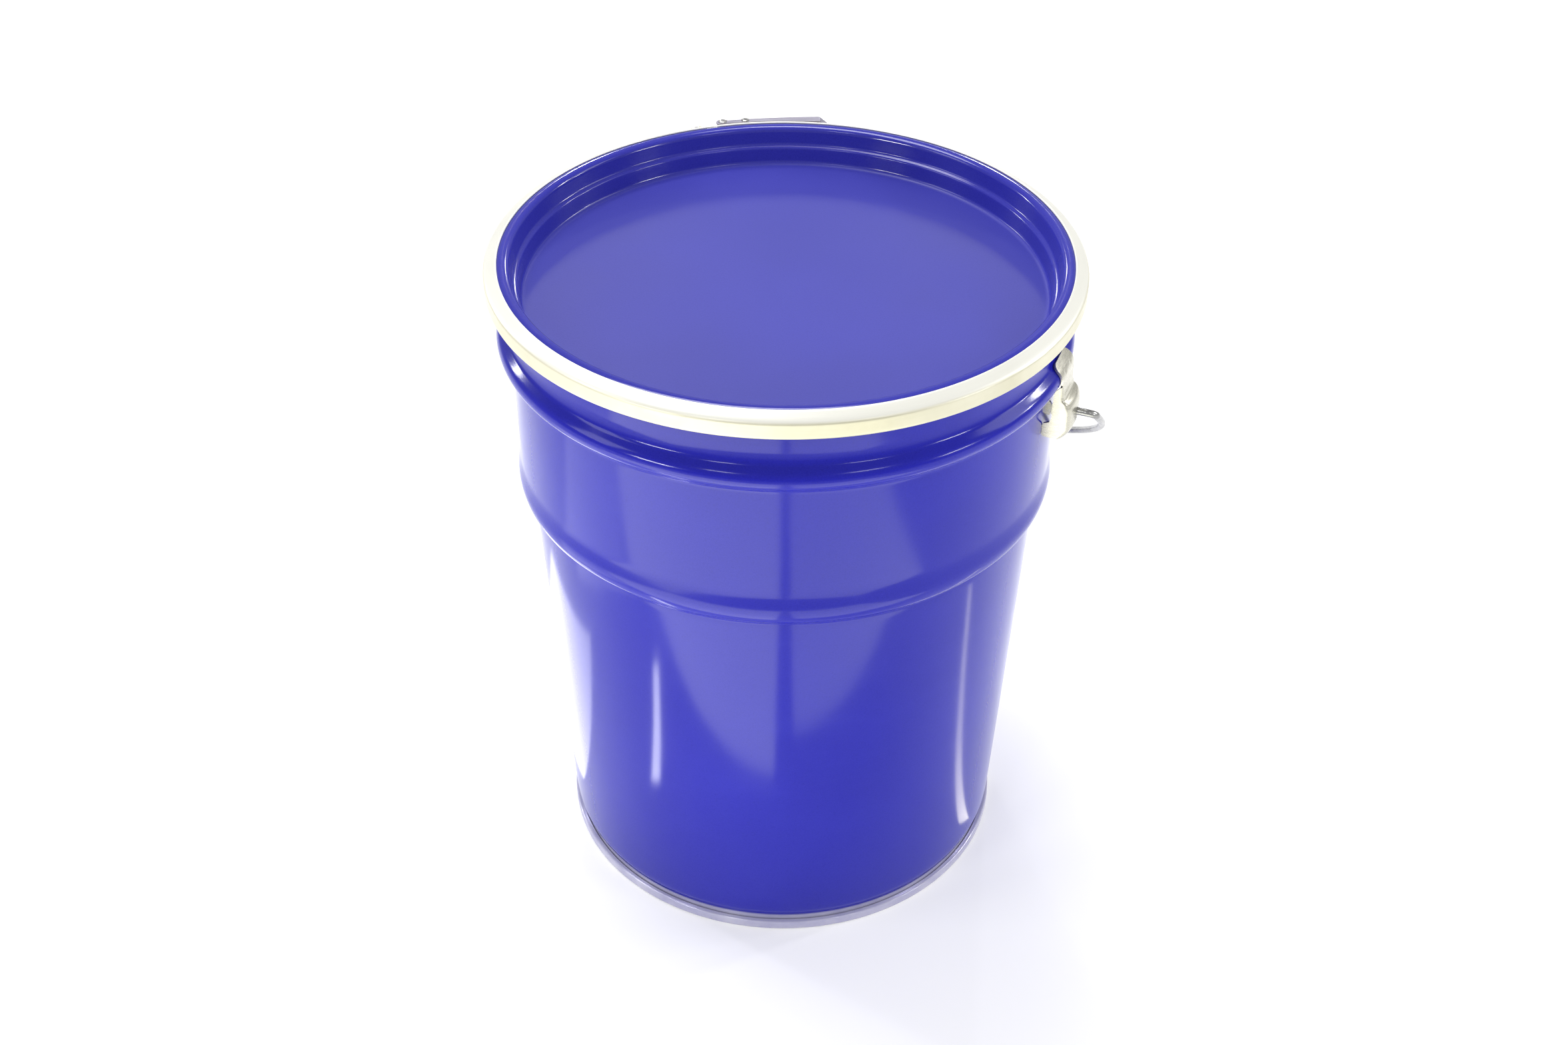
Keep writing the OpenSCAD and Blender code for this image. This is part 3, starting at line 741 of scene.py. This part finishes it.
bm = bmesh.new()
half_ang = 19.0
n_along = 190
outer_r, ang_list = [], []
for i in range(n_along + 1):
    t = -half_ang + 2 * half_ang * i / n_along
    mmpos = abs(t) / half_ang
    edge = (half_ang - abs(t)) * rad(1) * BR
    r = 7.95
    rib = 0.5 * (1 + math.cos(2 * math.pi * t / 2.6))
    r -= 0.75 * (1 - rib ** 0.6) if abs(t) < half_ang - 2.2 else 0.0
    if edge < 2.2:
        r = min(r, 5.75 + math.sqrt(max(0.0, 2.2 ** 2 - (2.2 - edge) ** 2)))
    outer_r.append(r)
    ang_list.append(t)
ring_n = 48
rings = []


def grip_ring(t, r):
    a = rad(90 + t)
    cx, cy = BR * math.cos(a), LEG + BR * math.sin(a)
    row = []
    for k in range(ring_n):
        b = 2 * math.pi * k / ring_n
        rr = BR + r * math.cos(b)
        row.append(bm.verts.new(BAIL @ Vector((rr * math.cos(a) * MM, (LEG + rr * math.sin(a)) * MM, r * math.sin(b) * MM))))
    return row


for t, r in zip(ang_list, outer_r):
    rings.append(grip_ring(t, r))
for t in reversed(ang_list[::6]):
    rings.append(grip_ring(t, 2.25))
m = len(rings)
for i in range(m):
    a, b = rings[i], rings[(i + 1) % m]
    for k in range(ring_n):
        bm.faces.new([a[k], a[(k + 1) % ring_n], b[(k + 1) % ring_n], b[k]])
grip = mesh_object("grip_moulding", bm, GRIP)
grip.data.set_sharp_from_angle(angle=rad(60))
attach(grip, "bail")
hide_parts("bail_grip")

# ------------------------------------------------------------------ carried-over CAD nodes

for node, material in (("ring_bracket_lever", RING), ("ring_bracket_hook", RING), ("bottom_seam_compound", SEAL)):
    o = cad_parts[node]
    o.data.materials.clear()
    o.data.materials.append(material)

# ------------------------------------------------------------------ stage

floor_mat = Nodes("floor_paper")
f = floor_mat
f.link(f.mix(f.ramp(f.noise(3.0, 3, 0.5), 0.3, 0.7), (0.86, 0.86, 0.87), (0.88, 0.88, 0.88)), f.b.inputs["Base Color"])
f.set(Roughness=0.9, Specular_IOR_Level=0.1, Emission_Color=(1.0, 1.0, 1.0, 1.0), Emission_Strength=0.13)
bm = bmesh.new()
bmesh.ops.create_grid(bm, x_segments=8, y_segments=8, size=8.0)
floor = mesh_object("floor", bm, floor_mat.m)

world = bpy.data.worlds.new("studio")
bpy.context.scene.world = world
world.use_nodes = True
bg = world.node_tree.nodes["Background"]
bg.inputs[0].default_value = (1.0, 1.0, 1.0, 1.0)
bg.inputs[1].default_value = 0.50


def softbox(name, loc, target, size, power, colour=(1, 1, 1)):
    li = bpy.data.lights.new(name, "AREA")
    li.shape = "RECTANGLE"
    li.size, li.size_y = size
    li.energy = power
    li.color = colour
    ob = bpy.data.objects.new(name, li)
    bpy.context.collection.objects.link(ob)
    ob.location = loc
    ob.rotation_mode = "QUATERNION"
    ob.rotation_quaternion = (Vector(target) - Vector(loc)).to_track_quat("-Z", "Y")
    return ob


R20 = Matrix.Rotation(rad(20), 3, "Z")


def v(x, y, z):
    """A place given in the camera's heading: x right, y away from the camera."""
    return tuple(R20 @ Vector((x, y, z)))


softbox("key_overhead", v(-0.45, 0.75, 2.3), v(0, 0, 0.2), (1.5, 0.8), 38)
softbox("fill_left", v(-2.2, -0.6, 1.5), v(0, 0, 0.2), (0.8, 1.2), 10)
softbox("fill_right", v(2.2, 0.2, 1.4), v(0, 0, 0.2), (0.7, 1.2), 8)
softbox("front_top_left", v(-1.0, -2.0, 2.4), v(0, 0, 0.1), (0.45, 0.30), 6)
softbox("front_top_right", v(1.35, -2.0, 2.4), v(0, 0, 0.1), (0.60, 0.30), 6.5)
# small bright boxes: they give the short highlights along the lid's rim and the beads
softbox("rim_from_left", v(-1.7, 0.95, 0.98), v(0, 0, 0.36), (0.11, 0.42), 6)
softbox("rim_from_right", v(1.7, 0.62, 1.12), v(0, 0, 0.36), (0.11, 0.36), 6)
softbox("rim_behind_left", v(-0.42, 2.3, 1.30), v(0, 0, 0.36), (0.09, 0.22), 4)
softbox("rim_behind_right", v(0.42, 2.3, 1.30), v(0, 0, 0.36), (0.09, 0.22), 4)
softbox("bead_left", v(-1.15, -1.10, 0.66), v(0, 0, 0.33), (0.40, 0.07), 5.5)
softbox("bead_right", v(1.40, -0.72, 0.70), v(0, 0, 0.33), (0.32, 0.07), 4.6)
softbox("bead_far_right", v(1.55, 0.22, 0.72), v(0, 0, 0.33), (0.08, 0.08), 1.6)


def card(name, cx, cy, lx, ly, angle, radiance, colour=(1, 1, 1)):
    """A low bounce card in front of the pail, facing up: the wall mirrors it as a soft vertical patch."""
    li = bpy.data.lights.new(name, "AREA")
    li.shape = "RECTANGLE"
    li.size, li.size_y = lx, ly
    li.energy = math.pi * radiance * lx * ly
    li.color = colour
    ob = bpy.data.objects.new(name, li)
    bpy.context.collection.objects.link(ob)
    ob.matrix_world = R20.to_4x4() @ Matrix.Translation((cx, cy, 0.004)) @ Matrix.Rotation(rad(angle), 4, "Z") @ Matrix.Rotation(rad(180), 4, "X")


card("card_left_strip", -0.2125, 0.07, 0.145, 0.18, 0, 2.1)
card("card_left_slit", -0.192, -0.164, 0.100, 0.013, 33.8, 10.5)
card("card_front_left", -0.306, -0.465, 0.588, 0.46, 0, 2.7, (1.0, 0.99, 0.80))
card("card_side_left", -0.47, -0.10, 0.26, 0.24, 0, 1.0)
card("card_front_right", 0.19, -0.485, 0.34, 0.43, 0, 1.8, (1.0, 1.0, 0.76))
card("card_right_slit", 0.235, -0.0545, 0.22, 0.012, 0, 3.2, (1.0, 0.95, 0.72))

cam_data = bpy.data.cameras.new("camera")
cam_data.sensor_width = 36.0
cam_data.lens = 46.39
cam = bpy.data.objects.new("camera", cam_data)
bpy.context.collection.objects.link(cam)
pitch, roll = 0.644, 0.008
right = Vector((1, 0, 0))
fwd = Vector((0, math.cos(pitch), -math.sin(pitch)))
up = Vector((0, math.sin(pitch), math.cos(pitch)))
r2 = math.cos(roll) * right + math.sin(roll) * up
u2 = -math.sin(roll) * right + math.cos(roll) * up
rot = R20 @ Matrix((r2, u2, -fwd)).transposed()
cam.matrix_world = Matrix.Translation((0.31224, -0.85788, 0.88105)) @ rot.to_4x4()
bpy.context.scene.camera = cam
cam_data.clip_start, cam_data.clip_end = 0.05, 50
bpy.context.scene.view_settings.view_transform = "Standard"
